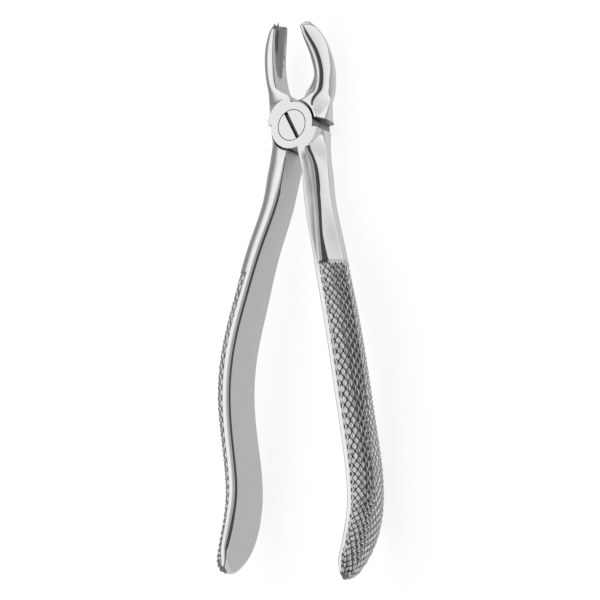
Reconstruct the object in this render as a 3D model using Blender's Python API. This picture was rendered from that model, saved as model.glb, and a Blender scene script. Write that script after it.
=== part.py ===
"""Dental extraction forceps: two forged halves that cross in a lap joint and turn on one slotted screw.

The forceps lie on their back. +Y runs from the joint to the beaks, +X to the right handle, and +Z up the
screw to its slot. The origin is on the screw's axis, in the plane that the joint's back face rests on.
Each half is a beak, a round joint plate and a handle forged in one. The front half holds the front plate,
the left beak and the right handle. The back half holds the back plate, the right beak and the left handle.

All lengths here are in millimetres, and MM turns them into Blender's metres.
"""

import math
from collections import namedtuple

import bmesh
import bpy
import numpy as np
from mathutils import Matrix, Vector

MM = 0.001

# Lap joint
JOINT_THICKNESS = 10.5
PARTING_HEIGHT = 6.0  # middle of the gap between the two plates
PLATE_GAP = 0.3
PLATE_RADIUS = 7.5
RECESS_RADIUS = 8.0  # cut in each half for the other half's plate
CUT_MARGIN = 1.0

# Screw
HEAD_RADIUS = 4.8
HEAD_DEPTH = 1.8
SHANK_RADIUS = 2.9
BORE_CLEARANCE = 0.08
HEAD_CLEARANCE = 0.15
SLOT_WIDTH = 1.25
SLOT_DEPTH = 1.1
SLOT_ANGLE = 115.5  # degrees from +X
BORE_SEGMENTS = 48
PLATE_SEGMENTS = 72

# The point on the left beak's tip that grips between a molar's roots
PRONG_RISE = 1.4
PRONG_PLACE = 4  # which point across the beak it stands on, counted from the front

# Lofts
SIDE_POINTS = 11  # points across the inner and the outer side of a section
HANDLE_STEPS = 34
BEAK_STEPS = 22

# One section of a beak or a handle. inner and outer are its two sides in plan, height is its middle in Z,
# width its size across, edge the thickness of its side walls, hollow the depth of its inner face and
# chamfer the size of that face's corners. The outer side is half an ellipse that stands on the side walls.
Section = namedtuple("Section", "inner outer height width edge hollow chamfer")

# Both handles from the shoulder at the joint down to the palm, as the right one.
HANDLE = [
    Section((1.9, -0.45), (8.66, -2.05), 5.25, 10.5, 7.04, 0.0, 0.40),
    Section((1.6, -3.8), (8.3, -4.4), 5.25, 10.5, 6.6, 0.0, 0.40),
    Section((1.8, -7.2), (8.95, -7.5), 5.28, 10.5, 4.4, 0.0, 0.45),
    Section((2.2, -10.4), (9.8, -10.4), 5.4, 10.5, 3.6, 0.0, 0.50),
    Section((3.0, -15.6), (10.8, -14.8), 6.1, 10.4, 3.9, 0.0, 0.60),
    Section((4.4, -22.8), (11.9, -21.3), 6.9, 10.4, 3.9, 0.0, 0.65),
    Section((8.7, -38.4), (15.9, -36.4), 9.6, 11.5, 3.5, 0.0, 0.70),
    Section((12.6, -54.0), (19.7, -52.4), 11.6, 13.2, 3.0, 0.0, 0.70),
    Section((16.0, -69.0), (23.2, -67.8), 13.1, 14.0, 3.0, 0.0, 0.70),
    Section((18.0, -84.0), (25.2, -83.6), 12.7, 14.6, 3.0, 0.0, 0.70),
    Section((18.7, -98.5), (25.4, -98.5), 9.9, 15.2, 3.0, 0.0, 0.70),
    Section((19.0, -113.0), (25.7, -113.0), 7.83, 15.6, 3.0, 0.0, 0.70),
    Section((19.5, -122.0), (25.8, -122.0), 9.4, 15.0, 3.0, 0.0, 0.70),
]

# The ends of the two handles, curled up towards the front. The right one is a little longer.
LEFT_END = [
    Section((19.5, -129.0), (25.4, -129.0), 13.5, 12.4, 2.8, 0.0, 0.70),
    Section((19.5, -132.6), (24.7, -132.6), 16.5, 9.4, 2.5, 0.0, 0.70),
    Section((19.7, -134.7), (23.9, -134.7), 18.5, 6.0, 2.0, 0.0, 0.60),
    Section((20.3, -135.7), (22.8, -135.7), 19.6, 2.6, 1.2, 0.0, 0.40),
]
RIGHT_END = [
    Section((19.9, -131.0), (25.5, -131.0), 14.2, 12.6, 2.8, 0.0, 0.70),
    Section((20.0, -136.2), (25.0, -136.2), 18.2, 9.8, 2.5, 0.0, 0.70),
    Section((20.1, -139.2), (24.4, -139.2), 20.9, 6.4, 2.0, 0.0, 0.60),
    Section((20.6, -140.6), (23.4, -140.6), 22.3, 3.0, 1.2, 0.0, 0.40),
]

# The right beak, from its shoulder at the joint up to its tip.
RIGHT_BEAK = [
    Section((2.0, 0.04), (8.93, 1.10), 5.25, 10.5, 6.9, 0.0, 0.30),
    Section((2.0, 4.6), (10.1, 4.2), 5.25, 10.5, 7.6, 0.0, 0.30),
    Section((2.1, 7.8), (10.9, 6.9), 5.25, 10.5, 6.6, 0.0, 0.30),
    Section((2.8, 9.3), (11.1, 8.8), 5.25, 10.4, 5.2, 0.0, 0.30),
    Section((4.6, 10.2), (11.3, 10.4), 5.25, 10.2, 3.6, 0.1, 0.30),
    Section((6.6, 12.0), (11.5, 12.8), 5.2, 10.0, 2.2, 0.5, 0.25),
    Section((7.7, 15.0), (11.8, 15.8), 5.3, 9.7, 1.3, 0.9, 0.20),
    Section((7.6, 19.0), (11.9, 19.6), 5.7, 9.4, 0.9, 1.1, 0.20),
    Section((7.0, 23.0), (11.4, 24.0), 6.5, 9.2, 0.8, 1.1, 0.20),
    Section((5.8, 27.0), (9.9, 28.3), 7.5, 8.8, 0.7, 1.0, 0.20),
    Section((4.8, 29.6), (8.0, 31.2), 8.2, 7.8, 0.6, 0.8, 0.20),
    Section((4.2, 31.2), (6.7, 32.5), 8.6, 6.2, 0.5, 0.5, 0.15),
    Section((3.9, 32.0), (5.6, 33.2), 8.8, 4.0, 0.5, 0.2, 0.10),
]

# The left beak, as if it were on the right.
LEFT_BEAK = [
    Section((0.3, 0.04), (8.73, 1.60), 5.25, 10.5, 8.4, 0.0, 0.30),
    Section((0.3, 4.6), (8.9, 4.4), 5.25, 10.5, 8.3, 0.0, 0.30),
    Section((0.3, 8.2), (9.2, 6.9), 5.25, 10.5, 7.4, 0.0, 0.30),
    Section((1.6, 9.9), (9.4, 8.8), 5.25, 10.4, 5.8, 0.0, 0.30),
    Section((3.7, 11.0), (9.7, 10.4), 5.3, 10.2, 3.8, 0.1, 0.30),
    Section((5.5, 12.6), (10.1, 12.8), 5.3, 10.0, 2.2, 0.5, 0.25),
    Section((6.5, 15.0), (10.7, 15.8), 5.4, 9.7, 1.3, 0.9, 0.20),
    Section((6.9, 19.0), (11.0, 19.6), 5.8, 9.2, 0.9, 1.1, 0.20),
    Section((6.5, 23.0), (10.6, 24.0), 6.7, 8.9, 0.8, 1.1, 0.20),
    Section((5.6, 27.0), (9.4, 28.4), 7.7, 8.6, 0.7, 1.0, 0.20),
    Section((4.7, 30.0), (7.8, 31.4), 8.6, 8.0, 0.6, 0.8, 0.20),
    Section((4.1, 31.9), (6.6, 33.0), 9.1, 7.4, 0.5, 0.6, 0.15),
    Section((3.9, 32.6), (5.8, 33.6), 9.4, 6.8, 0.5, 0.4, 0.10),
]

STEEL = (0.60, 0.60, 0.59)
SCREW_STEEL = (0.66, 0.66, 0.65)


def empty_scene():
    """Removes every object of the open file."""
    for old in list(bpy.data.objects):
        bpy.data.objects.remove(old, do_unlink=True)


def steel(name, color, roughness):
    """A plain metal material."""
    material = bpy.data.materials.new(name)
    material.use_nodes = True
    shader = material.node_tree.nodes["Principled BSDF"]
    shader.inputs["Base Color"].default_value = (*color, 1.0)
    shader.inputs["Metallic"].default_value = 1.0
    shader.inputs["Roughness"].default_value = roughness
    return material


def spline(knots, values, at):
    """A natural cubic spline through values at knots, read at the places in at."""
    count = len(knots)
    gaps = np.diff(knots)
    rises = np.diff(values, axis=0) / gaps[:, None]
    bends = np.eye(count)
    turns = np.zeros_like(values)
    for i in range(1, count - 1):
        bends[i, i - 1 : i + 2] = gaps[i - 1], 2 * (gaps[i - 1] + gaps[i]), gaps[i]
        turns[i] = 6 * (rises[i] - rises[i - 1])
    second = np.linalg.solve(bends, turns)
    cell = np.clip(np.searchsorted(knots, at, side="right") - 1, 0, count - 2)
    gap = gaps[cell][:, None]
    past = (at - knots[cell])[:, None]
    left = gap - past
    lines = (values[cell] * left + values[cell + 1] * past) / gap
    curve_left = second[cell] * (left**3 / gap - left * gap) / 6
    curve_right = second[cell + 1] * (past**3 / gap - past * gap) / 6
    return lines + curve_left + curve_right


def smooth_sections(sections, steps):
    """The sections of a smooth body through the given ones, evenly spaced along it."""
    rows = np.array([[*s.inner, *s.outer, *s[2:]] for s in sections])
    middle = np.column_stack([(rows[:, 0] + rows[:, 2]) / 2, (rows[:, 1] + rows[:, 3]) / 2, rows[:, 4]])
    knots = np.concatenate([[0], np.cumsum(np.linalg.norm(np.diff(middle, axis=0), axis=1))])
    at = np.linspace(0, knots[-1], steps)
    return [Section(tuple(r[0:2]), tuple(r[2:4]), *r[4:]) for r in spline(knots, rows, at)]


def ring(section, along):
    """One section's closed ring of points. along is the body's direction there."""
    inner = Vector((*section.inner, section.height))
    outward = Vector((*section.outer, section.height)) - inner
    depth = outward.length
    outward.normalize()
    across = outward.cross(along).normalized()
    if across.z < 0:
        across = -across
    half = section.width / 2
    corner = section.chamfer
    edge = min(section.edge, depth - 0.05)
    inner_side = [(corner, half)]
    outer_side = []
    for i in range(SIDE_POINTS - 2):
        place = 1 - 2 * i / (SIDE_POINTS - 3)
        inner_side.append((section.hollow * (1 - place**2), place * (half - corner)))
    inner_side.append((corner, -half))
    for i in range(SIDE_POINTS):
        angle = math.pi * i / (SIDE_POINTS - 1)
        outer_side.append((edge + (depth - edge) * math.sin(angle), half * math.cos(angle)))
    loop = inner_side + outer_side[::-1]
    return [(inner + outward * out + across * up) for out, up in loop]


def loft(name, sections, steps, mirrored, prong=0.0):
    """A closed body through smooth sections, on the left when mirrored, with a prong at its tip."""
    smooth = smooth_sections(sections, steps)
    middles = [
        Vector(((s.inner[0] + s.outer[0]) / 2, (s.inner[1] + s.outer[1]) / 2, s.height)) for s in smooth
    ]
    mesh = bmesh.new()
    rings = []
    for i, section in enumerate(smooth):
        along = middles[min(i + 1, steps - 1)] - middles[max(i - 1, 0)]
        points = ring(section, along)
        if i == steps - 1:
            points[PRONG_PLACE] += along.normalized() * prong
            points[-1 - PRONG_PLACE] += along.normalized() * prong
        side = -1 if mirrored else 1
        rings.append([mesh.verts.new((side * p.x * MM, p.y * MM, p.z * MM)) for p in points])
    count = 2 * SIDE_POINTS
    for first, second in zip(rings, rings[1:]):
        for i in range(count):
            j = (i + 1) % count
            mesh.faces.new((first[i], first[j], second[j], second[i]))
    for end in (rings[0], rings[-1]):
        for i in range(SIDE_POINTS - 1):
            mesh.faces.new((end[i], end[i + 1], end[count - 2 - i], end[count - 1 - i]))
    return solid(name, mesh)


def solid(name, mesh):
    """An object made from a bmesh, with its faces pointing out."""
    bmesh.ops.recalc_face_normals(mesh, faces=mesh.faces)
    data = bpy.data.meshes.new(name)
    mesh.to_mesh(data)
    mesh.free()
    made = bpy.data.objects.new(name, data)
    bpy.context.scene.collection.objects.link(made)
    return made


def cylinder(name, radius, low, high, segments):
    """A round bar on the screw's axis."""
    mesh = bmesh.new()
    bmesh.ops.create_cone(
        mesh,
        cap_ends=True,
        segments=segments,
        radius1=radius * MM,
        radius2=radius * MM,
        depth=(high - low) * MM,
        matrix=Matrix.Translation((0, 0, (low + high) / 2 * MM)),
    )
    return solid(name, mesh)


def combine(target, tool, operation):
    """Applies one exact Boolean to target and removes the tool."""
    change = target.modifiers.new(operation.lower(), "BOOLEAN")
    change.operation = operation
    change.solver = "EXACT"
    change.object = tool
    bpy.context.view_layer.update()
    evaluated = target.evaluated_get(bpy.context.evaluated_depsgraph_get())
    result = bpy.data.meshes.new_from_object(evaluated)
    target.modifiers.clear()
    target.data = result
    result.name = target.name
    bpy.data.objects.remove(tool, do_unlink=True)


def forged_half(name, front):
    """A beak, a joint plate and a handle in one piece. The front half has its handle on the right."""
    end = RIGHT_END if front else LEFT_END
    half = loft(name, HANDLE + end, HANDLE_STEPS, mirrored=not front)
    if front:
        beak = loft("beak", LEFT_BEAK, BEAK_STEPS, mirrored=True, prong=PRONG_RISE)
    else:
        beak = loft("beak", RIGHT_BEAK, BEAK_STEPS, mirrored=False)
    combine(half, beak, "UNION")
    low, high = (PARTING_HEIGHT, JOINT_THICKNESS) if front else (0.0, PARTING_HEIGHT)
    combine(half, cylinder("plate", PLATE_RADIUS, low, high, PLATE_SEGMENTS), "UNION")
    if front:
        cut = (-CUT_MARGIN, PARTING_HEIGHT + PLATE_GAP / 2)
    else:
        cut = (PARTING_HEIGHT - PLATE_GAP / 2, JOINT_THICKNESS + CUT_MARGIN)
    combine(half, cylinder("recess", RECESS_RADIUS, *cut, PLATE_SEGMENTS), "DIFFERENCE")
    through = (-CUT_MARGIN, JOINT_THICKNESS + CUT_MARGIN)
    bore_radius = SHANK_RADIUS + BORE_CLEARANCE
    combine(half, cylinder("bore", bore_radius, *through, BORE_SEGMENTS), "DIFFERENCE")
    if front:
        seat = (JOINT_THICKNESS - HEAD_DEPTH - HEAD_CLEARANCE, JOINT_THICKNESS + CUT_MARGIN)
        seat_radius = HEAD_RADIUS + HEAD_CLEARANCE
        combine(half, cylinder("seat", seat_radius, *seat, BORE_SEGMENTS), "DIFFERENCE")
    return half


def pivot_screw():
    """The screw: a flush slotted head on a plain shank that ends level with the joint's back face."""
    screw = cylinder("pivot_screw", SHANK_RADIUS, 0.0, JOINT_THICKNESS - HEAD_DEPTH / 2, BORE_SEGMENTS)
    head = cylinder("head", HEAD_RADIUS, JOINT_THICKNESS - HEAD_DEPTH, JOINT_THICKNESS, BORE_SEGMENTS)
    combine(screw, head, "UNION")
    mesh = bmesh.new()
    turn = Matrix.Rotation(math.radians(SLOT_ANGLE), 4, "Z")
    place = Matrix.Translation((0, 0, JOINT_THICKNESS * MM))
    size = Matrix.Diagonal((2.4 * HEAD_RADIUS * MM, SLOT_WIDTH * MM, 2 * SLOT_DEPTH * MM, 1))
    bmesh.ops.create_cube(mesh, size=1.0, matrix=place @ turn @ size)
    combine(screw, solid("slot", mesh), "DIFFERENCE")
    return screw


def finish(piece, material):
    """Gives a piece its material and smooth shading."""
    piece.data.materials.clear()
    piece.data.materials.append(material)
    piece.data.shade_smooth()
    piece.data.set_sharp_from_angle(angle=math.radians(35))


def main():
    empty_scene()
    forged = steel("forged_steel", STEEL, 0.25)
    turned = steel("screw_steel", SCREW_STEEL, 0.3)
    finish(forged_half("front_half", front=True), forged)
    finish(forged_half("back_half", front=False), forged)
    finish(pivot_screw(), turned)


main()
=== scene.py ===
"""Looks of the dental extraction forceps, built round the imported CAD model.

Each forged half is one fine body: a beak, a joint plate and a handle with a cross-cut grip. All lengths
here are in millimetres and MM turns them into metres. The frame is the CAD model's: +Y from the joint to
the beaks, +X to the right handle, +Z up the pivot screw, whose axis is the Z axis.
"""

import math
from collections import namedtuple

import bmesh
import bpy
import numpy as np
from mathutils import Matrix, Vector


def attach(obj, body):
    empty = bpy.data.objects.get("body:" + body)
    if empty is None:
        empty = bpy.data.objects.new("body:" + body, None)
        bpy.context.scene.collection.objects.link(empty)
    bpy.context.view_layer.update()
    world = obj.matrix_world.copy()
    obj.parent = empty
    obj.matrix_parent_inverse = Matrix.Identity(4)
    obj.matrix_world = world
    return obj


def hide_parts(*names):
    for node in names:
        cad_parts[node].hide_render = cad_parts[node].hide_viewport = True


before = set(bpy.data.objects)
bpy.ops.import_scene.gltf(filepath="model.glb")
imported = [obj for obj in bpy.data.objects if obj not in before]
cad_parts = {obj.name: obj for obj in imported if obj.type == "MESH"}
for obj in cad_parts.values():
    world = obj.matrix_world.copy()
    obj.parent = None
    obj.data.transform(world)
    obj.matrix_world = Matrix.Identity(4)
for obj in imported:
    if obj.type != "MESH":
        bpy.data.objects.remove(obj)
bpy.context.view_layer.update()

MM = 0.001

# Lap joint and screw
JOINT_THICKNESS = 10.5
PARTING_HEIGHT = 6.0
PLATE_GAP = 0.3
PLATE_RADIUS = 7.5
RECESS_RADIUS = 8.1
EDGE_BREAK = 0.12  # small chamfer on the plates, their recesses and the bore
HEAD_RADIUS = 4.8
HEAD_DEPTH = 1.8
HEAD_BREAK = 0.06  # small chamfer round the screw's head and its seat
SHANK_RADIUS = 2.9
SHANK_BREAK = 0.1
BORE_CLEARANCE = 0.08
HEAD_CLEARANCE = 0.15
SLOT_WIDTH = 1.25
SLOT_DEPTH = 1.1
SLOT_ANGLE = 115.5
SLOT_CUTTER = 2.4 * HEAD_RADIUS  # long enough to leave the head at both ends
TURNED_SEGMENTS = 192
CUT_MARGIN = 1.0  # how far a cutter reaches past the face that it opens

# The ground flats round the screw end on an arc, one on the front half and one on the back half's beak.
FRONT_ARC = 9.2
BACK_ARC = 8.85
RIM_STEP = 0.08  # how far out the step down from such an arc reaches
FLAT_REACH = 9.7  # this near the screw along Y, a half keeps between the joint's two flats
FLAT_RADIUS = 10.5  # this near the screw, level faces belong to the joint
SAME_PLACE = 0.01  # heights and radii that differ by less than this count as the same
LEVEL = 0.9999  # least Z of a level face's normal
SHARP_ANGLE = 30

# Spacing of the sections, on the beaks and on the handles' shoulders, necks and grips
BEAK_STEP = 0.25
SHOULDER_STEP = 0.25
NECK_START = 16
NECK_STEP = 0.45
GRIP_LEAD = 1.0  # how far before the grip its spacing starts
GRIP_STEP = 0.3

# Points round one section of a loft, by stretch
FRONT_POINTS = 16
BACK_POINTS = 4
FILLET_POINTS = 9
INNER_POINTS = 28
OUTER_POINTS = 96

# Points of the curves that those are taken from
WALL_CURVE = 24
ARC_CURVE = 24
BLEND_CURVE = 40
ROUND_CURVE = 160

# The least that a section leaves: of its faces past the inner edges, and of its depth past where the front
# face breaks, past where the back face ends and past where the outer side starts to curve
EDGE_ROOM = 0.05
SIDE_ROOM = 0.35
BACK_ROOM = 0.3
CURVE_ROOM = 0.2

# Tilts in degrees where a shoulder starts and ends, where the flank under it starts and where it ends at
# the most, of the flank in all and of the wall below
SHOULDER_START = 26
SHOULDER_END = 50
FLANK_START = 53
FLANK_END = 84
FLANK_TILT = 63
WALL_TILT = 78

# How much of an outer side its bead and shoulder may take, how far out a shoulder of radius 1 runs, a small
# length that keeps their sum above nothing, and the least width of the wall
SHOULDER_SHARE = 0.62
SHOULDER_SPREAD = 0.31
SHOULDER_SLACK = 0.01
WALL_WIDTH = 0.04

# Cross-cut grip: where it starts along each handle, its diamonds along and round the handle, how far in from
# the grip's edges they come up to full depth, and the groove that they start from
RIGHT_GRIP = 47.3
LEFT_GRIP = 47.0
DIAMOND_LENGTH = 3.0
DIAMOND_WIDTH = 1.9
DIAMOND_DEPTH = 0.5
DIAMOND_FADE = 0.6
GROOVE_WIDTH = 0.9
GROOVE_DEPTH = 0.35
GROOVE_SHADE = 0.80  # how far up from the grooves' bottoms their painted shade reaches

# The scoop inside the left beak, which gets painted shade where it is deeper than SCOOP_SHADE. Places across
# the inner face go from 1 at the front to -1 at the back.
SCOOP_LENGTH = 17.5
SCOOP_DEPTH = 0.75
SCOOP_SHADE = 0.3
SCOOP_MIDDLE = -0.04
SCOOP_HALF_WIDTH = 0.84
SCOOP_SLACK = 0.001  # keeps the width above nothing at the scoop's end

# The narrow ridge that splits the scoop near the tip
RIDGE_LENGTH = 9.5
RIDGE_FADE = 2
RIDGE_PLACE = 0.15
RIDGE_WIDTH = 0.09
RIDGE_HEIGHT = 0.9

# The prong on the left beak's tip, and how much lower it is on the outer side
PRONG_REACH = 2.6
PRONG_ROOT = 2.5
PRONG_PLACE = 0.31
PRONG_WIDTH = 0.1
PRONG_DROP = 0.6

# The steel's noise: the fine grain's detail, the broad stains' repeats per metre and their detail, the
# values that it lies between, and the height of the grain
FINE_DETAIL = 4.0
BROAD_SCALE = 160.0
BROAD_DETAIL = 3.0
NOISE_LOW = 0.3
NOISE_HIGH = 0.7
RELIEF_HEIGHT = 0.02

# The sockets of a map range node that works on vectors
VECTOR_IN, FROM_LOW, FROM_HIGH, TO_LOW, TO_HIGH = range(6, 11)
VECTOR_OUT = 1

# The studio's light by angle round the Y axis, from +X up over +Z, as brightness on the screen
SOFT_BOXES = [
    (-180, 0.54), (-149, 0.62), (-122, 0.86), (-99, 0.76), (-79, 0.79), (-59, 0.79), (-43, 0.74),
    (-37, 0.62), (-32, 0.66), (-29, 0.95), (-19, 0.94), (0, 0.90), (15, 0.84), (21, 0.80), (24, 0.29),
    (66, 0.29), (68, 0.72), (73, 0.72), (74, 0.55), (76, 0.55), (89, 0.76), (100, 0.86), (110, 0.95),
    (131, 0.95), (141, 0.90), (149, 0.78), (158, 0.63), (169, 0.52), (180, 0.54),
]
SCREEN_GAMMA = 2.2  # turns brightness on the screen into light
STUDIO_STRENGTH = 1.0
FLOOR_SIZE = 3000.0
FLOOR_DROP = 0.2
FLOOR_GREY = 0.35
FLOOR_GLOW = 0.84
DOME_RADIUS = 3500.0
DOME_GLOW = 1.0

# The camera: where the view's right and top point, then a nod and a roll in radians
VIEW_RIGHT = (0.854, 0.0, -0.52)
VIEW_UP = (0.122, 0.972, 0.20)
NOD = 0.009
ROLL = 0.0165

# It looks at a point this far to the right of the screw's head and below it, in the view.
AIM_RIGHT = 2.6
AIM_DOWN = 53.9
CAMERA_DISTANCE = 650
CAMERA_LENS = 126.72
CAMERA_SENSOR = 36
FAR_CLIP = 10000

# One section of a loft. inner and outer are its two sides in plan, height its middle in Z and width its
# size across. edge is where its outer side starts to curve, at the back and at a round front. Its inner face
# is hollow deep and reaches slant further in at the front than at the back. Its inner edges are rounded, by
# corner out from the inner face and by rise along it. The front one is bevelled instead as far as flat goes
# from 0 to 1.
Section = namedtuple("Section", "inner outer height width edge hollow slant corner rise flat front")

# The front face of a section. It falls by lean towards its crease, the more suddenly the higher fall is.
# From there a bead as wide as bead starts at tilt, and turn is the radius of the shoulder that follows.
# ridge is the height of the flank's lower end as a share of half the width. Where turn is 0 the outer side
# is plain and round.
Front = namedtuple("Front", "crease lean fall bead tilt turn ridge")

# A section's numbers start with its inner and outer sides in plan, its height and its width.
PLACE_COLUMNS = 6


def round_front(crease):
    """The front of a section with a plain round outer side."""
    return Front(crease, 0.0, 1.8, 0.0, 0.0, 0.0, 0.0)


# Both handles from the joint to the end, each as if it were on the right
RIGHT_HANDLE = [
    Section((1.9, -0.45), (9.2, -2.2), 5.27, 10.54, 5.8, 0, 0, 0.15, 0.15, 0,
            Front(6.3, 0, 5.0, 0.1, 20, 0.3, 0.85)),
    Section((1.6, -3.8), (8.9, -4.4), 5.27, 10.54, 5.8, 0, 0, 0.20, 0.20, 0,
            Front(5.0, 0, 5.0, 0.1, 14, 1.2, 0.45)),
    Section((1.8, -7.2), (9.1, -7.5), 5.28, 10.54, 5.4, 0, 0, 0.30, 0.30, 0,
            Front(2.8, 0, 1.5, 0.6, 15, 2.4, 0.02)),
    Section((2.2, -10.4), (9.5, -10.4), 5.4, 10.5, 5.0, 0, 0, 0.35, 0.35, 0,
            Front(2.3, 0.52, 1.5, 1.3, 17, 3.0, 0.04)),
    Section((3.6, -15.6), (10.3, -14.8), 6.1, 10.4, 4.6, 0, 0, 0.40, 0.40, 0,
            Front(2.3, 0.64, 1.3, 1.6, 17, 3.4, 0.1)),
    Section((4.7, -22.8), (11.2, -21.3), 6.9, 10.4, 4.3, 0, 0, 0.45, 0.45, 0,
            Front(2.8, 0.80, 1.3, 1.2, 19, 3.4, 0.1)),
    Section((8.6, -38.4), (15.2, -36.4), 9.6, 11.5, 4.0, 0, 0, 0.45, 0.45, 0,
            Front(1.8, 0.56, 1.3, 1.1, 19, 3.2, 0.1)),
    Section((12.6, -54.0), (19.6, -52.4), 11.6, 13.2, 2.4, 0, 0, 0.45, 0.45, 0,
            Front(1.3, 0.05, 1.8, 0.6, 8, 8.5, 0.1)),
    Section((16.0, -69.0), (23.2, -67.8), 13.1, 14.0, 1.8, 0, 0, 0.45, 0.45, 0,
            Front(1.3, 0, 1.8, 0.5, 8, 9.5, 0.1)),
    Section((18.0, -84.0), (25.2, -83.6), 12.7, 14.6, 1.8, 0, 0, 0.45, 0.45, 0,
            Front(1.3, 0, 1.8, 0.5, 8, 9.5, 0.1)),
    Section((18.7, -98.5), (25.4, -98.5), 9.9, 15.2, 1.8, 0, 0, 0.45, 0.45, 0,
            Front(1.3, 0, 1.8, 0.5, 8, 9.5, 0.1)),
    Section((19.0, -113.0), (25.7, -113.0), 7.83, 15.6, 1.8, 0, 0, 0.45, 0.45, 0,
            Front(1.3, 0, 1.8, 0.5, 8, 9.5, 0.1)),
    Section((19.5, -122.0), (25.8, -122.0), 9.4, 15.0, 1.8, 0, 0, 0.45, 0.45, 0,
            Front(1.3, 0, 1.8, 0.5, 8, 9.0, 0.1)),
    Section((19.9, -131.0), (25.5, -131.0), 14.2, 12.6, 1.5, 0, 0, 0.45, 0.45, 0,
            Front(1.2, 0, 1.8, 0.5, 8, 7.0, 0.1)),
    Section((20.0, -136.2), (25.0, -136.2), 18.2, 9.8, 1.2, 0, 0, 0.45, 0.45, 0,
            Front(1.1, 0, 1.8, 0.4, 8, 5.0, 0.1)),
    Section((20.1, -139.2), (24.4, -139.2), 20.9, 6.4, 1.0, 0, 0, 0.45, 0.45, 0,
            Front(0.9, 0, 1.8, 0.3, 8, 3.0, 0.1)),
    Section((20.6, -140.6), (23.4, -140.6), 22.3, 3.0, 0.8, 0, 0, 0.40, 0.40, 0,
            Front(0.7, 0, 1.8, 0.2, 8, 1.2, 0.1)),
]
LEFT_HANDLE = [
    Section((1.9, -0.45), (9.2, -2.05), 5.27, 10.54, 4.0, 0, 0, 0.15, 0.15, 0, round_front(0.0)),
    Section((1.6, -3.8), (9.5, -4.4), 5.27, 10.54, 1.6, 0, 0, 0.20, 0.20, 0, round_front(0.0)),
    Section((1.8, -7.2), (10.1, -7.5), 5.28, 10.54, 1.6, 0, 0, 0.60, 0.40, 0, round_front(1.8)),
    Section((2.2, -10.4), (10.6, -10.4), 5.4, 10.5, 1.8, 0, 0, 1.10, 0.60, 0, round_front(1.8)),
    Section((3.0, -15.6), (11.2, -14.8), 6.1, 10.4, 1.8, 0, 0, 1.30, 0.65, 0, round_front(1.8)),
    Section((4.4, -22.8), (12.0, -21.3), 6.9, 10.4, 1.9, 0, 0, 1.40, 0.70, 0.6, round_front(1.9)),
    Section((8.7, -38.4), (15.9, -36.4), 9.6, 11.5, 1.9, 0, 0, 1.40, 0.70, 0.6, round_front(1.9)),
    Section((12.6, -54.0), (19.7, -52.4), 11.6, 13.2, 1.8, 0, 0, 1.40, 0.70, 0.6, round_front(2.3)),
    Section((16.0, -69.0), (23.2, -67.8), 13.1, 14.0, 1.8, 0, 0, 1.40, 0.70, 0.6, round_front(2.3)),
    Section((18.0, -84.0), (25.2, -83.6), 12.7, 14.6, 1.8, 0, 0, 1.40, 0.70, 0.6, round_front(2.3)),
    Section((18.7, -98.5), (25.4, -98.5), 9.9, 15.2, 1.8, 0, 0, 1.40, 0.70, 0.6, round_front(2.3)),
    Section((19.0, -113.0), (25.7, -113.0), 7.83, 15.6, 1.9, 0, 0, 1.50, 0.78, 0.6, round_front(2.3)),
    Section((19.5, -122.0), (25.8, -122.0), 9.4, 15.0, 1.9, 0, 0, 1.60, 0.85, 0.6, round_front(2.3)),
    Section((19.5, -129.0), (25.4, -129.0), 13.5, 12.4, 1.9, 0, 0, 1.50, 0.90, 0.6, round_front(2.3)),
    Section((19.5, -132.6), (24.7, -132.6), 16.5, 9.4, 1.8, 0, 0, 1.30, 0.90, 0.5, round_front(2.0)),
    Section((19.7, -134.7), (23.9, -134.7), 18.5, 6.0, 1.4, 0, 0, 1.00, 0.80, 0, round_front(1.4)),
    Section((20.3, -135.7), (22.8, -135.7), 19.6, 2.6, 0.8, 0, 0, 0.50, 0.50, 0, round_front(0.8)),
]

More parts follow.
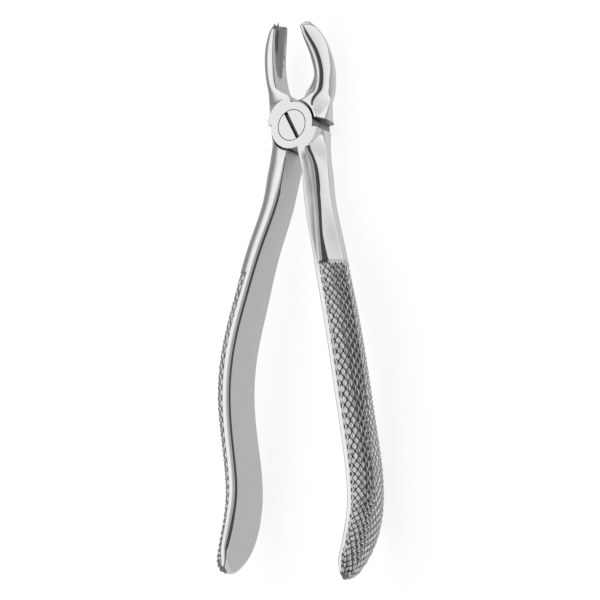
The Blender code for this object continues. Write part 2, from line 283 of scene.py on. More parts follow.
# Both beaks from the joint to the tip, each as if it were on the right
RIGHT_BEAK = [
    Section((2.0, 0.04), (9.9, 1.25), 5.27, 10.54, 7.0, 0, 0, 0.15, 0.15, 0,
            Front(6.3, 0, 5.0, 0.1, 20, 0.4, 0.78)),
    Section((2.0, 4.6), (10.5, 4.2), 5.27, 10.54, 5.5, 0, 0, 0.15, 0.15, 0,
            Front(5.0, 0, 5.0, 0.1, 14, 1.2, 0.36)),
    Section((1.9, 7.9), (10.9, 6.9), 5.27, 10.54, 4.5, 0, 0, 3.40, 1.40, 0.6,
            Front(5.4, 0, 5.0, 0.3, 5, 2.4, 0.05)),
    Section((2.0, 9.0), (11.5, 8.8), 5.2, 10.4, 2.4, 0, 0, 6.00, 4.20, 0.7,
            Front(6.6, 0, 5.0, 0.4, 5, 3.1, 0.05)),
    Section((2.2, 10.3), (12.0, 10.4), 5.2, 10.2, 0.4, 0.1, 0, 6.75, 4.50, 0.7,
            Front(7.1, 0, 5.0, 0.4, 5, 3.3, 0.05)),
    Section((4.0, 12.4), (12.3, 12.8), 5.2, 10.0, -1.8, 0.5, 0, 5.45, 4.00, 0.7,
            Front(5.7, 0, 5.0, 0.4, 5, 3.2, 0.05)),
    Section((6.4, 15.0), (12.5, 15.8), 5.3, 9.8, -2.2, 0.9, 0, 3.05, 2.90, 0.6,
            Front(3.4, 0, 5.0, 0.4, 5, 3.1, 0.05)),
    Section((6.5, 19.0), (12.3, 19.6), 5.7, 9.5, -0.6, 1.1, 0, 2.50, 2.60, 0.6,
            Front(2.85, 0, 5.0, 0.4, 5, 3.0, 0.05)),
    Section((6.0, 23.0), (11.4, 24.0), 6.5, 9.2, 0.8, 1.1, 0, 2.00, 2.10, 0.6,
            Front(2.3, 0, 5.0, 0.4, 5, 2.9, 0.05)),
    Section((5.1, 27.0), (9.8, 28.3), 7.5, 8.8, 1.4, 1.0, 0, 1.30, 1.50, 0.6,
            Front(1.55, 0, 5.0, 0.3, 5, 2.5, 0.05)),
    Section((4.5, 29.6), (7.9, 31.2), 8.2, 7.8, 1.2, 0.8, 0, 0.75, 0.95, 0.5,
            Front(0.95, 0, 5.0, 0.2, 5, 1.9, 0.05)),
    Section((4.1, 31.2), (6.7, 32.5), 8.6, 6.2, 0.8, 0.5, 0, 0.40, 0.50, 0.2,
            Front(0.6, 0, 5.0, 0.1, 5, 1.3, 0.05)),
    Section((3.8, 32.0), (5.6, 33.2), 8.8, 4.0, 0.4, 0.2, 0, 0.30, 0.30, 0,
            Front(0.4, 0, 5.0, 0.1, 5, 0.7, 0.05)),
    Section((4.0, 32.5), (4.8, 33.3), 8.9, 1.6, 0.2, 0.0, 0, 0.20, 0.20, 0,
            Front(0.3, 0, 5.0, 0.1, 5, 0.3, 0.05)),
]
LEFT_BEAK = [
    Section((0.3, 0.04), (8.9, 1.60), 5.27, 10.54, 4.0, 0, 0, 0.15, 0.15, 0, round_front(0.0)),
    Section((0.3, 4.6), (9.6, 4.4), 5.27, 10.54, 1.0, 0, 0, 0.15, 0.15, 0, round_front(0.0)),
    Section((0.3, 8.2), (10.5, 6.9), 5.27, 10.54, 0.0, 0, 0, 0.20, 0.20, 0, round_front(3.0)),
    Section((1.6, 10.1), (10.6, 8.8), 5.25, 10.46, 0.2, 0, 0.3, 0.60, 0.40, 0, round_front(0.9)),
    Section((3.7, 11.3), (10.5, 10.4), 5.3, 10.3, 0.4, 0.1, 0.5, 0.70, 0.50, 0, round_front(0.9)),
    Section((5.5, 12.6), (10.4, 12.8), 5.3, 10.0, 0.6, 0.1, 0.7, 0.70, 0.50, 0, round_front(0.8)),
    Section((6.5, 15.0), (10.7, 15.8), 5.4, 9.7, 0.8, 0.1, 0.8, 0.70, 0.50, 0, round_front(0.8)),
    Section((6.9, 19.0), (11.0, 19.6), 5.8, 9.2, 0.8, 0.1, 0.9, 0.70, 0.50, 0, round_front(0.8)),
    Section((6.5, 23.0), (10.6, 24.0), 6.7, 8.9, 0.8, 0.1, 0.9, 0.60, 0.50, 0, round_front(0.8)),
    Section((5.6, 27.0), (9.4, 28.4), 7.7, 8.6, 0.8, 0.1, 0.7, 0.50, 0.45, 0, round_front(0.8)),
    Section((4.7, 30.0), (7.8, 31.4), 8.6, 8.0, 0.6, 0.1, 0.4, 0.35, 0.35, 0, round_front(0.6)),
    Section((4.1, 31.9), (6.6, 33.0), 9.1, 7.4, 0.5, 0.1, 0.1, 0.30, 0.30, 0, round_front(0.5)),
    Section((3.9, 32.6), (5.8, 33.6), 9.4, 6.8, 0.4, 0.1, 0, 0.20, 0.20, 0, round_front(0.4)),
]


# Geometry


# Places across an inner face, from its front to its back
ACROSS = np.linspace(1, -1, INNER_POINTS + 1)


def spline(knots, values, at):
    """A natural cubic spline through values at knots, read at the places in at."""
    count = len(knots)
    gaps = np.diff(knots)
    rises = np.diff(values, axis=0) / gaps[:, None]
    bends = np.eye(count)
    turns = np.zeros_like(values)
    for i in range(1, count - 1):
        bends[i, i - 1 : i + 2] = gaps[i - 1], 2 * (gaps[i - 1] + gaps[i]), gaps[i]
        turns[i] = 6 * (rises[i] - rises[i - 1])
    second = np.linalg.solve(bends, turns)
    cell = np.clip(np.searchsorted(knots, at, side="right") - 1, 0, count - 2)
    gap = gaps[cell][:, None]
    past = (at - knots[cell])[:, None]
    left = gap - past
    lines = (values[cell] * left + values[cell + 1] * past) / gap
    curve_left = second[cell] * (left**3 / gap - left * gap) / 6
    curve_right = second[cell + 1] * (past**3 / gap - past * gap) / 6
    return lines + curve_left + curve_right


def distances(points):
    """How far along a polyline each of its points is."""
    return np.concatenate([[0], np.cumsum(np.linalg.norm(np.diff(points, axis=0), axis=1))])


def as_rows(sections):
    """The numbers of each section in one row of an array."""
    return np.array([[*s.inner, *s.outer, *s[2:-1], *s.front] for s in sections])


def as_section(row):
    """The section whose numbers are in row."""
    front = len(Front._fields)
    return Section(tuple(row[0:2]), tuple(row[2:4]), *row[4:-front], Front(*row[-front:]))


def middles(rows):
    """The middle point of each section, as an array."""
    return np.column_stack([(rows[:, 0] + rows[:, 2]) / 2, (rows[:, 1] + rows[:, 3]) / 2, rows[:, 4]])


def smooth_sections(sections, spacing):
    """The sections of a smooth body through the given ones, and their distances along it.

    spacing is a list of (distance, gap between sections from there on)."""
    rows = as_rows(sections)
    knots = distances(middles(rows))
    at = [0.0]
    while at[-1] < knots[-1]:
        gap = [g for start, g in spacing if start <= at[-1]][-1]
        at.append(min(at[-1] + gap, knots[-1]))
    at = np.array(at)
    fine = spline(knots, rows, at)
    before = rows[np.clip(np.searchsorted(knots, at, side="right") - 1, 0, len(knots) - 2)]
    after = rows[np.clip(np.searchsorted(knots, at, side="right"), 1, len(knots) - 1)]
    kept = np.clip(fine, np.minimum(before, after), np.maximum(before, after))
    # Only a section's place and size may swing past the values given.
    fine[:, PLACE_COLUMNS:] = kept[:, PLACE_COLUMNS:]
    return [as_section(row) for row in fine], at


def resample(points, count):
    """count points evenly spaced along a polyline, without its last point."""
    points = np.asarray(points, dtype=float)
    lengths = distances(points)
    at = np.linspace(0, lengths[-1], count + 1)[:count]
    return np.column_stack([np.interp(at, lengths, points[:, i]) for i in (0, 1)])


def face_break(section, depth, arc):
    """Where the front face breaks: at the section's crease, or on the arc if that is further out."""
    inner = np.array(section.inner)
    outward = (np.array(section.outer) - inner) / depth
    crease = section.front.crease
    if arc:
        along = inner @ outward
        root = along**2 - inner @ inner + arc**2
        if root > 0:
            crease = max(crease, -along + math.sqrt(root))
    return min(max(crease, section.corner - section.slant + EDGE_ROOM), depth - SIDE_ROOM)


def turning(start, radius, first, last):
    """Points of an arc from start whose tilt goes from first to last degrees, as it runs out and down."""
    tilts = np.radians(np.linspace(first, last, ARC_CURVE))
    out = start[0] + radius * (np.sin(tilts) - math.sin(tilts[0]))
    up = start[1] - radius * (math.cos(tilts[0]) - np.cos(tilts))
    return np.column_stack([out, up])


def blend(start, first, end, last):
    """Points of a smooth curve from start to end that leaves and arrives at the given tilts in degrees."""
    reach = math.dist(start, end) / 3
    leave = np.array([math.cos(math.radians(first)), -math.sin(math.radians(first))]) * reach
    arrive = np.array([math.cos(math.radians(last)), -math.sin(math.radians(last))]) * reach
    place = np.linspace(0, 1, BLEND_CURVE)[:, None]
    rest = 1 - place
    start, end = np.array(start), np.array(end)
    return (rest**3 * start + 3 * rest**2 * place * (start + leave)
            + 3 * rest * place**2 * (end - arrive) + place**3 * end)


def shouldered(section, depth, crease):
    """The front of an outer side with a bead, a tight shoulder, a flat flank and an upright wall."""
    front = section.front
    high = section.width / 2 - front.lean
    low = front.ridge * section.width / 2
    spread = front.bead + SHOULDER_SPREAD * front.turn + SHOULDER_SLACK
    room = min(1.0, SHOULDER_SHARE * (depth - crease) / spread)
    bend = math.radians(SHOULDER_START - front.tilt)
    bead = turning((crease, high), front.bead * room / bend, front.tilt, SHOULDER_START)
    shoulder = turning(bead[-1], front.turn * room, SHOULDER_START, SHOULDER_END)
    out, up = shoulder[-1]
    reach = min(depth - WALL_WIDTH, out + (up - low) / math.tan(math.radians(FLANK_TILT)))
    ridge = (max(reach, depth - low / math.tan(math.radians(WALL_TILT))), low)
    chord = math.degrees(math.atan2(up - low, ridge[0] - out))
    flank = blend(shoulder[-1], FLANK_START, ridge, min(max(2 * chord - FLANK_START, chord), FLANK_END))
    chord = math.degrees(math.atan2(low, depth - ridge[0]))
    wall = blend(ridge, chord, (depth, 0.0), 90)
    return np.concatenate([bead[:-1], shoulder[:-1], flank[:-1], wall])


def rounded(section, depth, start):
    """An elliptical outer side, from where the flat face ends at start to its middle."""
    edge = min(section.edge, depth - CURVE_ROOM)
    begin = max((start - edge) / (depth - edge), 0.0)
    tall = section.width / 2 / math.sqrt(1 - begin**2)
    out = start + (depth - start) * np.sin(np.linspace(0, math.pi / 2, ROUND_CURVE))
    place = np.clip((out - edge) / (depth - edge), 0, 1)
    return np.column_stack([out, tall * np.sqrt(1 - place**2)])


def front_wall(section, crease):
    """The front face from its crease in to its inner edge."""
    out = np.linspace(crease, section.corner - section.slant, WALL_CURVE)
    place = np.clip((out - out[-1]) / (crease - out[-1]), 0, 1)
    return np.column_stack([out, section.width / 2 - section.front.lean * place**section.front.fall])


def front_fillet(section):
    """The front inner edge, round or bevelled, from the front face to the inner one."""
    angles = np.linspace(0, math.pi / 2, FILLET_POINTS + 1)
    steps = np.linspace(0, 1, FILLET_POINTS + 1)
    round_out = (1 - section.flat) * np.sin(angles) + section.flat * steps
    round_down = (1 - section.flat) * (1 - np.cos(angles)) + section.flat * steps
    out = section.corner * (1 - round_out) - section.slant
    return np.column_stack([out, section.width / 2 - section.rise * round_down])


def inner_face(section, hollow):
    """The inner face from front to back, hollow deep at each place across it."""
    out = hollow - section.slant * (1 + ACROSS) / 2
    return np.column_stack([out, ACROSS * (section.width / 2 - section.rise)])


def back_fillet(section):
    """The back inner edge, round, from the inner face to the back one."""
    angles = np.linspace(0, math.pi / 2, FILLET_POINTS + 1)[::-1]
    out = section.corner * (1 - np.sin(angles))
    return np.column_stack([out, section.rise * (1 - np.cos(angles)) - section.width / 2])


def back_wall(section, back_edge):
    """The back face from its inner edge out to where the outer side starts."""
    return [(section.corner, -section.width / 2), (back_edge, -section.width / 2)]


def front_side(section, depth, crease):
    """The front half of an outer side, from the crease to its middle."""
    if section.front.turn > 0:
        side = shouldered(section, depth, min(crease, section.front.crease))
        return np.concatenate([[(crease, side[0, 1])], side[side[:, 0] > crease + RIM_STEP]])
    return rounded(section, depth, crease)


def section_outline(section, depth, arc, hollow):
    """A section's closed outline as (out, up) points: front wall, inner face, back wall and outer side."""
    crease = face_break(section, depth, arc)
    back_edge = max(min(section.edge, depth - BACK_ROOM), section.corner + EDGE_ROOM)
    back_side = rounded(section, depth, back_edge) * np.array([1, -1])
    return np.concatenate([
        resample(front_wall(section, crease), FRONT_POINTS),
        front_fillet(section)[:-1],
        inner_face(section, hollow)[:-1],
        back_fillet(section)[:-1],
        resample(back_wall(section, back_edge), BACK_POINTS),
        resample(back_side, OUTER_POINTS // 2),
        resample(front_side(section, depth, crease)[::-1], OUTER_POINTS // 2),
    ])


def section_axes(section, along):
    """A section's inner point and depth, and its unit directions outward, along the body and across it."""
    inner = Vector((*section.inner, section.height))
    outward = Vector((*section.outer, section.height)) - inner
    depth = outward.length
    outward.normalize()
    along = Vector(along).normalized()
    across = outward.cross(along).normalized()
    if across.z < 0:
        across = -across
    return np.array(inner), depth, np.array(outward), np.array(along), np.array(across)


def loft_rings(sections, spacing, mirrored, arc, grip=None, scoop=None, tip=None):
    """The rings of a loft, and how deep the grip is cut at each point of their outer sides.

    grip is the distance at which the grip starts. scoop gives the extra depth of the inner face at places
    across it, and tip how far the end reaches out at places in the section. Both are also given how far the
    section is from the loft's end."""
    smooth, at = smooth_sections(sections, spacing)
    alongs = np.gradient(middles(as_rows(smooth)), axis=0)
    rings = []
    cuts = []
    for section, step, distance in zip(smooth, alongs, at):
        inner, depth, outward, along, across = section_axes(section, step)
        hollow = section.hollow * (1 - ACROSS**2)
        if scoop is not None:
            hollow = hollow + scoop(ACROSS, at[-1] - distance)
        outline = section_outline(section, depth, arc, hollow)
        cut = np.zeros(OUTER_POINTS)
        if grip is not None and distance > grip - GROOVE_WIDTH / 2:
            cut = grip_cut(outline[-OUTER_POINTS:], distance - grip)
            outline = sunk_grip(outline, cut)
        cuts.append(cut)
        ring = inner + outline[:, :1] * outward + outline[:, 1:] * across
        if tip is not None:
            rise = tip(outline[:, 0] / depth, outline[:, 1] / (section.width / 2), at[-1] - distance)
            ring += along * rise[:, None]
        near = np.abs(ring[:, 1]) < FLAT_REACH
        ring[near, 2] = np.clip(ring[near, 2], 0.0, JOINT_THICKNESS)
        rings.append(ring)
    rings = np.array(rings)
    if mirrored:
        rings[:, :, 0] *= -1
    return rings, np.array(cuts)


def grip_cut(side, distance):
    """How deep the cross-cut grip is at each point of an outer side, from 0 on top to 1 in a groove."""
    lengths = distances(side)
    round_it = lengths - lengths[-1] / 2
    edge_fade = np.clip(np.minimum(lengths, lengths[-1] - lengths) / DIAMOND_FADE, 0, 1)
    if distance < GROOVE_WIDTH / 2:
        return (1 - (distance / (GROOVE_WIDTH / 2)) ** 2) * edge_fade * GROOVE_DEPTH / DIAMOND_DEPTH
    wave_a = distance / DIAMOND_LENGTH + round_it / DIAMOND_WIDTH
    wave_b = distance / DIAMOND_LENGTH - round_it / DIAMOND_WIDTH
    near_a = np.abs(wave_a % 1 - 0.5) * 2
    near_b = np.abs(wave_b % 1 - 0.5) * 2
    return np.maximum(near_a, near_b) * edge_fade


def sunk_grip(outline, cut):
    """The outline with its outer side sunk by the cut of the grip."""
    side = outline[-OUTER_POINTS:]
    tangents = np.gradient(side, axis=0)
    tangents /= np.linalg.norm(tangents, axis=1)[:, None]
    inward = np.column_stack([-tangents[:, 1], tangents[:, 0]])
    moved = outline.copy()
    moved[-OUTER_POINTS:] = side + inward * (DIAMOND_DEPTH * cut)[:, None]
    return moved


def scoop_depth(across, from_tip):
    """Depth of the long scoop in the left beak's inner face, which a narrow ridge splits near the tip."""
    if from_tip > SCOOP_LENGTH:
        return 0 * across
    end = math.sqrt(1 - (from_tip / SCOOP_LENGTH) ** 4)
    place = np.clip((across - SCOOP_MIDDLE) / (SCOOP_HALF_WIDTH * end + SCOOP_SLACK), -1, 1)
    ridge = np.exp(-(((across - RIDGE_PLACE) / RIDGE_WIDTH) ** 2))
    ridge = ridge * np.clip((RIDGE_LENGTH - from_tip) / RIDGE_FADE, 0, 1)
    return SCOOP_DEPTH * end * np.sqrt(1 - place**2) * (1 - RIDGE_HEIGHT * ridge)


def forked_tip(out, across, from_tip):
    """How far the left beak's tip reaches out: a narrow prong, lower on the outer side than on the inner."""
    fade = np.clip(1 - from_tip / PRONG_ROOT, 0, 1) ** 2
    prong = PRONG_REACH * np.exp(-(((across - PRONG_PLACE) / PRONG_WIDTH) ** 2))
    return prong * (1 - PRONG_DROP * out) * fade


# The regions of a forged half, by face. The last two are darkened steel for painted shade: the fifth between
# the halves, on the end caps and deep in the left beak's scoop, the sixth deep in the grip's grooves.
SATIN, POLISHED, CUT, GROUND, PAINTED_SHADE, PAINTED_GROOVE_SHADE = range(6)


def mesh_from_rings(rings, cuts, scooped=False):
    """A closed bmesh through rings of points, with each face in its region. scooped is for the left beak."""
    mesh = bmesh.new()
    verts = [[mesh.verts.new(p * MM) for p in ring] for ring in rings]
    count = len(rings[0])
    inner_start = FRONT_POINTS + FILLET_POINTS
    outer_start = count - OUTER_POINTS
    for i, (first, second) in enumerate(zip(verts, verts[1:])):
        from_tip = (len(verts) - 1 - i) * BEAK_STEP
        for j in range(count):
            k = (j + 1) % count
            face = mesh.faces.new((first[j], first[k], second[k], second[j]))
            face.smooth = True
            face.material_index = POLISHED
            if inner_start <= j < inner_start + INNER_POINTS:
                across = 1 - 2 * (j - inner_start + 0.5) / INNER_POINTS
                # Deep in the left beak's scoop the inner face gets painted shade
                dark = scooped and scoop_depth(across, from_tip) > SCOOP_SHADE
                face.material_index = PAINTED_SHADE if dark else SATIN
            elif j >= outer_start:
                place = j - outer_start
                around = cuts[i : i + 2, place : place + 2]
                if around.max() > 0:
                    # Deep in a groove the grip gets painted shade, on the diamonds bare cut steel
                    face.material_index = PAINTED_GROOVE_SHADE if around.mean() > GROOVE_SHADE else CUT
    # The end caps get painted shade
    for end in (verts[0], verts[-1]):
        cap = mesh.faces.new(end)
        cap.material_index = PAINTED_SHADE
    bmesh.ops.recalc_face_normals(mesh, faces=mesh.faces)
    return mesh


def new_object(name, mesh):
    """A scene object made from a bmesh."""
    data = bpy.data.meshes.new(name)
    mesh.to_mesh(data)
    mesh.free()
    made = bpy.data.objects.new(name, data)
    bpy.context.scene.collection.objects.link(made)
    return made


def turned(name, profile, material=GROUND):
    """A solid of revolution round the screw's axis. profile is (radius, height) points, axis to axis."""
    mesh = bmesh.new()
    rings = []
    for radius, height in profile:
        if radius == 0:
            rings.append([mesh.verts.new((0, 0, height * MM))])
            continue
        reach = radius * MM
        ring = []
        for i in range(TURNED_SEGMENTS):
            angle = math.tau * i / TURNED_SEGMENTS
            ring.append(mesh.verts.new((reach * math.cos(angle), reach * math.sin(angle), height * MM)))
        rings.append(ring)
    for low, high in zip(rings, rings[1:]):
        for i in range(TURNED_SEGMENTS):
            j = (i + 1) % TURNED_SEGMENTS
            corners = [low[i % len(low)], low[j % len(low)], high[j % len(high)], high[i % len(high)]]
            face = mesh.faces.new(list(dict.fromkeys(corners)))
            face.smooth = True
            face.material_index = material
    bmesh.ops.recalc_face_normals(mesh, faces=mesh.faces)
    return new_object(name, mesh)


def combine(target, tool, operation):
    """Applies one exact Boolean to target and removes the tool."""
    change = target.modifiers.new(operation.lower(), "BOOLEAN")
    change.operation = operation
    change.solver = "EXACT"
    change.object = tool
    bpy.context.view_layer.update()
    evaluated = target.evaluated_get(bpy.context.evaluated_depsgraph_get())
    result = bpy.data.meshes.new_from_object(evaluated)
    target.modifiers.clear()
    old = target.data
    target.data = result
    bpy.data.meshes.remove(old)
    bpy.data.objects.remove(tool, do_unlink=True)


def plate_profile(front):
    """The profile of a half's joint plate, with the edge broken that shows from outside."""
    broken = PLATE_RADIUS - EDGE_BREAK
    if front:
        return [(0, PARTING_HEIGHT), (PLATE_RADIUS, PARTING_HEIGHT),
                (PLATE_RADIUS, JOINT_THICKNESS - EDGE_BREAK), (broken, JOINT_THICKNESS), (0, JOINT_THICKNESS)]
    return [(0, 0.0), (broken, 0.0), (PLATE_RADIUS, EDGE_BREAK), (PLATE_RADIUS, PARTING_HEIGHT),
            (0, PARTING_HEIGHT)]


def recess_profile(front):
    """A cutter for the other half's plate, flared where it opens on the outer face."""
    mouth = RECESS_RADIUS + EDGE_BREAK + CUT_MARGIN
    if front:
        high = PARTING_HEIGHT + PLATE_GAP / 2
        return [(0, -CUT_MARGIN), (mouth, -CUT_MARGIN), (RECESS_RADIUS, EDGE_BREAK),
                (RECESS_RADIUS, high), (0, high)]
    low = PARTING_HEIGHT - PLATE_GAP / 2
    high = JOINT_THICKNESS + CUT_MARGIN
    return [(0, low), (RECESS_RADIUS, low), (RECESS_RADIUS, JOINT_THICKNESS - EDGE_BREAK),
            (mouth, high), (0, high)]


def screw_hole_profile(front):
    """A cutter for the screw: the bore, and in the front half the seat of the head."""
    bore = SHANK_RADIUS + BORE_CLEARANCE
    low = -CUT_MARGIN
    high = JOINT_THICKNESS + CUT_MARGIN
    if not front:
        return [(0, low), (bore + CUT_MARGIN + EDGE_BREAK, low), (bore, EDGE_BREAK), (bore, high), (0, high)]
    seat = HEAD_RADIUS + HEAD_CLEARANCE
    floor_height = JOINT_THICKNESS - HEAD_DEPTH - HEAD_CLEARANCE
    return [(0, low), (bore, low), (bore, floor_height), (seat, floor_height),
            (seat, JOINT_THICKNESS - HEAD_BREAK), (seat + HEAD_BREAK + CUT_MARGIN, high), (0, high)]


def mark_joint_faces(piece):
    """Puts the ground flats of the joint in their own region, and gives the level faces and turned walls
    between the halves painted shade.
    """
    for face in piece.data.polygons:
        radius = math.hypot(face.center.x, face.center.y) / MM
        height = face.center.z / MM
        outside = height > JOINT_THICKNESS - SAME_PLACE or height < SAME_PLACE
        # Level faces between the halves and the turned walls near the screw get painted shade
        if radius < FLAT_RADIUS and abs(face.normal.z) > LEVEL:
            face.material_index = GROUND if outside else PAINTED_SHADE
        elif radius < RECESS_RADIUS + SAME_PLACE:
            face.material_index = PAINTED_SHADE


def dress(piece, materials):
    """Gives a piece its materials, one for each region number."""
    regions = [face.material_index for face in piece.data.polygons]
    piece.data.materials.clear()
    for material in materials:
        piece.data.materials.append(material)
    piece.data.polygons.foreach_set("material_index", regions)


def shade(piece):
    """Smooth shading with sharp edges where faces turn by more than SHARP_ANGLE."""
    piece.data.shade_smooth()
    piece.data.set_sharp_from_angle(angle=math.radians(SHARP_ANGLE))


def handle_mesh(sections, grip, mirrored, arc):
    """A handle with its cross-cut grip, as a bmesh."""
    spacing = [(0, SHOULDER_STEP), (NECK_START, NECK_STEP), (grip - GRIP_LEAD, GRIP_STEP)]
    return mesh_from_rings(*loft_rings(sections, spacing, mirrored, arc, grip=grip))


def right_beak():
    """The plain right beak, as a bmesh."""
    return mesh_from_rings(*loft_rings(RIGHT_BEAK, [(0, BEAK_STEP)], False, BACK_ARC))


def left_beak():
    """The left beak with its scoop and its forked tip, as a bmesh."""
    rings, cuts = loft_rings(
        LEFT_BEAK, [(0, BEAK_STEP)], True, FRONT_ARC, scoop=scoop_depth, tip=forked_tip,
    )
    return mesh_from_rings(rings, cuts, scooped=True)


def forged_half(name, front, materials):
    """A beak, a joint plate and a handle in one piece. The front half has its handle on the right."""
    if front:
        handle = handle_mesh(RIGHT_HANDLE, RIGHT_GRIP, False, FRONT_ARC)
    else:
        handle = handle_mesh(LEFT_HANDLE, LEFT_GRIP, True, None)
    half = new_object(name, handle)
    combine(half, new_object("beak", left_beak() if front else right_beak()), "UNION")
    combine(half, turned("plate", plate_profile(front)), "UNION")
    combine(half, turned("recess", recess_profile(front)), "DIFFERENCE")
    combine(half, turned("screw_hole", screw_hole_profile(front)), "DIFFERENCE")
    mark_joint_faces(half)
    dress(half, materials)
    shade(half)
    return half


def slotted_screw(name, materials):
    """The pivot screw with its flush slotted head. materials are for its outside and for the painted shade in
    its slot.
    """
    under_head = JOINT_THICKNESS - HEAD_DEPTH
    profile = [
        (0, 0), (SHANK_RADIUS - SHANK_BREAK, 0), (SHANK_RADIUS, SHANK_BREAK), (SHANK_RADIUS, under_head),
        (HEAD_RADIUS, under_head), (HEAD_RADIUS, JOINT_THICKNESS - HEAD_BREAK),
        (HEAD_RADIUS - HEAD_BREAK, JOINT_THICKNESS), (0, JOINT_THICKNESS),
    ]
    screw = turned(name, profile, material=0)
    mesh = bmesh.new()
    turn = Matrix.Rotation(math.radians(SLOT_ANGLE), 4, "Z")
    place = Matrix.Translation((0, 0, JOINT_THICKNESS * MM))
    size = Matrix.Diagonal((SLOT_CUTTER * MM, SLOT_WIDTH * MM, 2 * SLOT_DEPTH * MM, 1))
    bmesh.ops.create_cube(mesh, size=1.0, matrix=place @ turn @ size)
    # The slot's faces get the second material, painted shade
    for face in mesh.faces:
        face.material_index = 1
    combine(screw, new_object("slot", mesh), "DIFFERENCE")
    dress(screw, materials)
    shade(screw)
    return screw


# Materials


def noise(tree, place, scale, detail):
    """A noise texture, read at place."""
    made = tree.nodes.new("ShaderNodeTexNoise")
    made.inputs["Scale"].default_value = scale
    made.inputs["Detail"].default_value = detail
    tree.links.new(place, made.inputs["Vector"])
    return made.outputs["Fac"]


def mean(tree, first, second):
    """The mean of two values."""
    half = tree.nodes.new("ShaderNodeMath")
    half.operation = "MULTIPLY"
    half.inputs[1].default_value = 0.5
    tree.links.new(second, half.inputs[0])
    both = tree.nodes.new("ShaderNodeMath")
    both.operation = "MULTIPLY_ADD"
    both.inputs[1].default_value = 0.5
    tree.links.new(first, both.inputs[0])
    tree.links.new(half.outputs[0], both.inputs[2])
    return both.outputs[0]


def add_roughness(tree, shader, wander, low, high):
    """Lets the roughness wander between low and high."""
    rough = tree.nodes.new("ShaderNodeMapRange")
    rough.inputs["From Min"].default_value = NOISE_LOW
    rough.inputs["From Max"].default_value = NOISE_HIGH
    rough.inputs["To Min"].default_value = low
    rough.inputs["To Max"].default_value = high
    tree.links.new(wander, rough.inputs["Value"])
    tree.links.new(rough.outputs["Result"], shader.inputs["Roughness"])


def add_tint(tree, shader, wander, color, dark):
    """Lets the colour wander between color and a shade of it that is darker by the share dark."""
    tint = tree.nodes.new("ShaderNodeMapRange")
    tint.data_type = "FLOAT_VECTOR"
    tint.inputs[FROM_LOW].default_value = (NOISE_LOW, NOISE_LOW, NOISE_LOW)
    tint.inputs[FROM_HIGH].default_value = (NOISE_HIGH, NOISE_HIGH, NOISE_HIGH)
    tint.inputs[TO_LOW].default_value = [c * (1 - dark) for c in color]
    tint.inputs[TO_HIGH].default_value = color
    spread = tree.nodes.new("ShaderNodeCombineXYZ")
    for axis in range(3):
        tree.links.new(wander, spread.inputs[axis])
    tree.links.new(spread.outputs[0], tint.inputs[VECTOR_IN])
    tree.links.new(tint.outputs[VECTOR_OUT], shader.inputs["Base Color"])


def add_relief(tree, shader, height, strength):
    """Raises the grain by a fine bump."""
    relief = tree.nodes.new("ShaderNodeBump")
    relief.inputs["Strength"].default_value = strength
    relief.inputs["Distance"].default_value = RELIEF_HEIGHT * MM
    tree.links.new(height, relief.inputs["Height"])
    tree.links.new(relief.outputs["Normal"], shader.inputs["Normal"])


def steel(name, color, low, high, grain, bump, dark):
    """Steel whose roughness wanders between low and high and whose colour is up to dark darker.

    grain is how often its fine grain repeats in a metre along X, Y and Z, and bump how strong that is."""
    material = bpy.data.materials.new(name)
    material.use_nodes = True
    tree = material.node_tree
    shader = tree.nodes["Principled BSDF"]
    shader.inputs["Metallic"].default_value = 1.0
    place = tree.nodes.new("ShaderNodeTexCoord").outputs["Object"]
    stretch = tree.nodes.new("ShaderNodeMapping")
    stretch.inputs["Scale"].default_value = grain
    tree.links.new(place, stretch.inputs["Vector"])
    fine = noise(tree, stretch.outputs["Vector"], 1.0, FINE_DETAIL)
    wander = mean(tree, fine, noise(tree, place, BROAD_SCALE, BROAD_DETAIL))
    add_roughness(tree, shader, wander, low, high)
    add_tint(tree, shader, wander, color, dark)
    add_relief(tree, shader, fine, bump)
    return material


# Studio


def light_ramp(ramp):
    """Sets a colour ramp over a whole turn to the brightness of the soft boxes."""
    ramp.elements[0].position = 0.0
    ramp.elements[1].position = 1.0
    for degrees, _ in SOFT_BOXES[1:-1]:
        ramp.elements.new((degrees + 180) / 360)
    for element, (_, shown) in zip(ramp.elements, SOFT_BOXES):
        value = shown**SCREEN_GAMMA
        element.color = (value, value, value, 1)


def studio_world():
    """Long soft boxes round the instrument, drawn on the world by the angle round the Y axis."""
    world = bpy.data.worlds.new("studio")
    bpy.context.scene.world = world
    world.use_nodes = True
    nodes = world.node_tree.nodes
    links = world.node_tree.links
    light = nodes["Background"]
    where = nodes.new("ShaderNodeTexCoord")
    parts = nodes.new("ShaderNodeSeparateXYZ")
    links.new(where.outputs["Generated"], parts.inputs[0])
    angle = nodes.new("ShaderNodeMath")
    angle.operation = "ARCTAN2"
    links.new(parts.outputs["Z"], angle.inputs[0])
    links.new(parts.outputs["X"], angle.inputs[1])
    turn = nodes.new("ShaderNodeMapRange")
    turn.inputs["From Min"].default_value = -math.pi
    turn.inputs["From Max"].default_value = math.pi
    links.new(angle.outputs[0], turn.inputs["Value"])
    ramp = nodes.new("ShaderNodeValToRGB")
    light_ramp(ramp.color_ramp)
    links.new(turn.outputs["Result"], ramp.inputs["Fac"])
    links.new(ramp.outputs["Color"], light.inputs["Color"])
    light.inputs["Strength"].default_value = STUDIO_STRENGTH


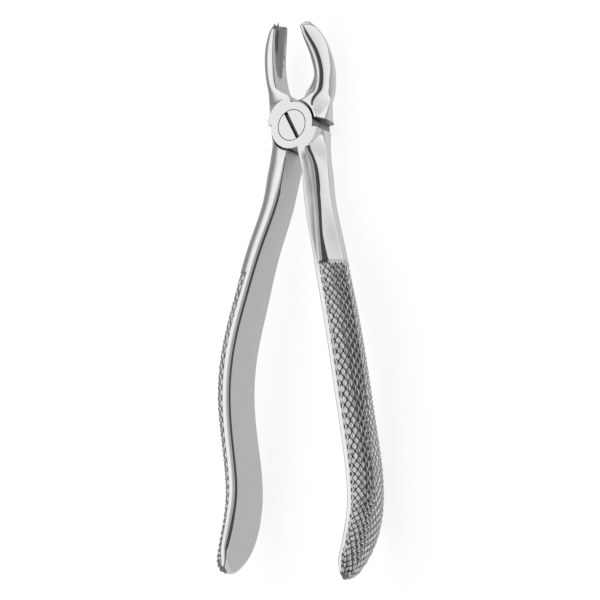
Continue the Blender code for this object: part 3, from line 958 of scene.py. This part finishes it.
def glowing(name, grey, glow):
    """A matt grey material that also glows white, for what surrounds the forceps."""
    material = bpy.data.materials.new(name)
    material.use_nodes = True
    shader = material.node_tree.nodes["Principled BSDF"]
    shader.inputs["Base Color"].default_value = (grey, grey, grey, 1)
    shader.inputs["Roughness"].default_value = 0.9
    shader.inputs["Specular IOR Level"].default_value = 0.0
    shader.inputs["Emission Color"].default_value = (1, 1, 1, 1)
    shader.inputs["Emission Strength"].default_value = glow
    return material


def floor():
    """A plain pale floor just under the forceps, which doesn't show in their steel."""
    mesh = bmesh.new()
    bmesh.ops.create_grid(mesh, x_segments=1, y_segments=1, size=FLOOR_SIZE * MM)
    sheet = new_object("floor", mesh)
    sheet.location.z = -FLOOR_DROP * MM
    sheet.data.materials.append(glowing("floor", FLOOR_GREY, FLOOR_GLOW))
    sheet.visible_glossy = False


def backdrop():
    """A plain pale dome that only the camera sees, so that every angle has the same plain surroundings."""
    mesh = bmesh.new()
    bmesh.ops.create_icosphere(mesh, subdivisions=4, radius=DOME_RADIUS * MM)
    dome = new_object("backdrop", mesh)
    dome.data.materials.append(glowing("backdrop", 0.0, DOME_GLOW))
    dome.visible_glossy = False
    dome.visible_diffuse = False
    dome.visible_shadow = False


def view_axes():
    """The directions of the view's right and top, and back to the camera."""
    right = np.array(VIEW_RIGHT)
    right /= np.linalg.norm(right)
    up = np.array(VIEW_UP)
    up -= right * (up @ right)
    up /= np.linalg.norm(up)
    back = np.cross(right, up)
    nod = np.array([
        [1, 0, 0],
        [0, math.cos(NOD), -math.sin(NOD)],
        [0, math.sin(NOD), math.cos(NOD)],
    ])
    right, up, back = (nod.T @ v for v in (right, up, back))
    rolled_right = right * math.cos(ROLL) - up * math.sin(ROLL)
    rolled_up = up * math.cos(ROLL) + right * math.sin(ROLL)
    return rolled_right, rolled_up, back


def camera():
    """The camera, far off to the front right and above."""
    right, up, back = view_axes()
    target = np.array([0, 0, JOINT_THICKNESS]) + AIM_RIGHT * right - AIM_DOWN * up
    place = (target + CAMERA_DISTANCE * back) * MM
    data = bpy.data.cameras.new("camera")
    data.lens = CAMERA_LENS
    data.sensor_width = CAMERA_SENSOR
    data.clip_end = FAR_CLIP * MM
    made = bpy.data.objects.new("camera", data)
    made.matrix_world = Matrix([*np.column_stack([right, up, back, place]).tolist(), [0, 0, 0, 1]])
    bpy.context.scene.collection.objects.link(made)
    bpy.context.scene.camera = made


def main():
    """Builds the three pieces, ties each to the CAD model and sets up the studio."""
    satin = steel("satin_steel", (0.84, 0.84, 0.83), 0.34, 0.44, (900, 120, 900), 0.25, 0.05)
    polished = steel("polished_steel", (0.96, 0.96, 0.955), 0.03, 0.06, (700, 120, 700), 0.03, 0.02)
    cut = steel("cut_steel", (0.80, 0.80, 0.795), 0.15, 0.24, (1200, 1200, 1200), 0.3, 0.2)
    ground = steel("ground_steel", (0.95, 0.95, 0.945), 0.26, 0.34, (900, 300, 900), 0.2, 0.04)
    # Darkened steel for painted shade between the halves, on the end caps and deep in the left beak's scoop
    painted_shade = steel("painted_shade_steel", (0.36, 0.36, 0.355), 0.3, 0.42, (900, 120, 900), 0.25, 0.1)
    # Darker steel for painted shade deep in the grip's grooves and in the screw's slot
    groove_shade = steel("groove_shade_steel", (0.19, 0.19, 0.188), 0.4, 0.5, (900, 900, 900), 0.2, 0.1)
    screw_steel = steel("screw_steel", (0.95, 0.95, 0.945), 0.26, 0.34, (300, 900, 900), 0.2, 0.04)
    regions = (satin, polished, cut, ground, painted_shade, groove_shade)
    front = forged_half("front_half_forging", True, regions)
    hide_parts("front_half")
    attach(front, "front")
    back = forged_half("back_half_forging", False, regions)
    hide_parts("back_half")
    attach(back, "back")
    screw = slotted_screw("slotted_screw", (screw_steel, groove_shade))
    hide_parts("pivot_screw")
    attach(screw, "back")
    studio_world()
    floor()
    backdrop()
    camera()
    bpy.context.scene.view_settings.view_transform = "Standard"


main()
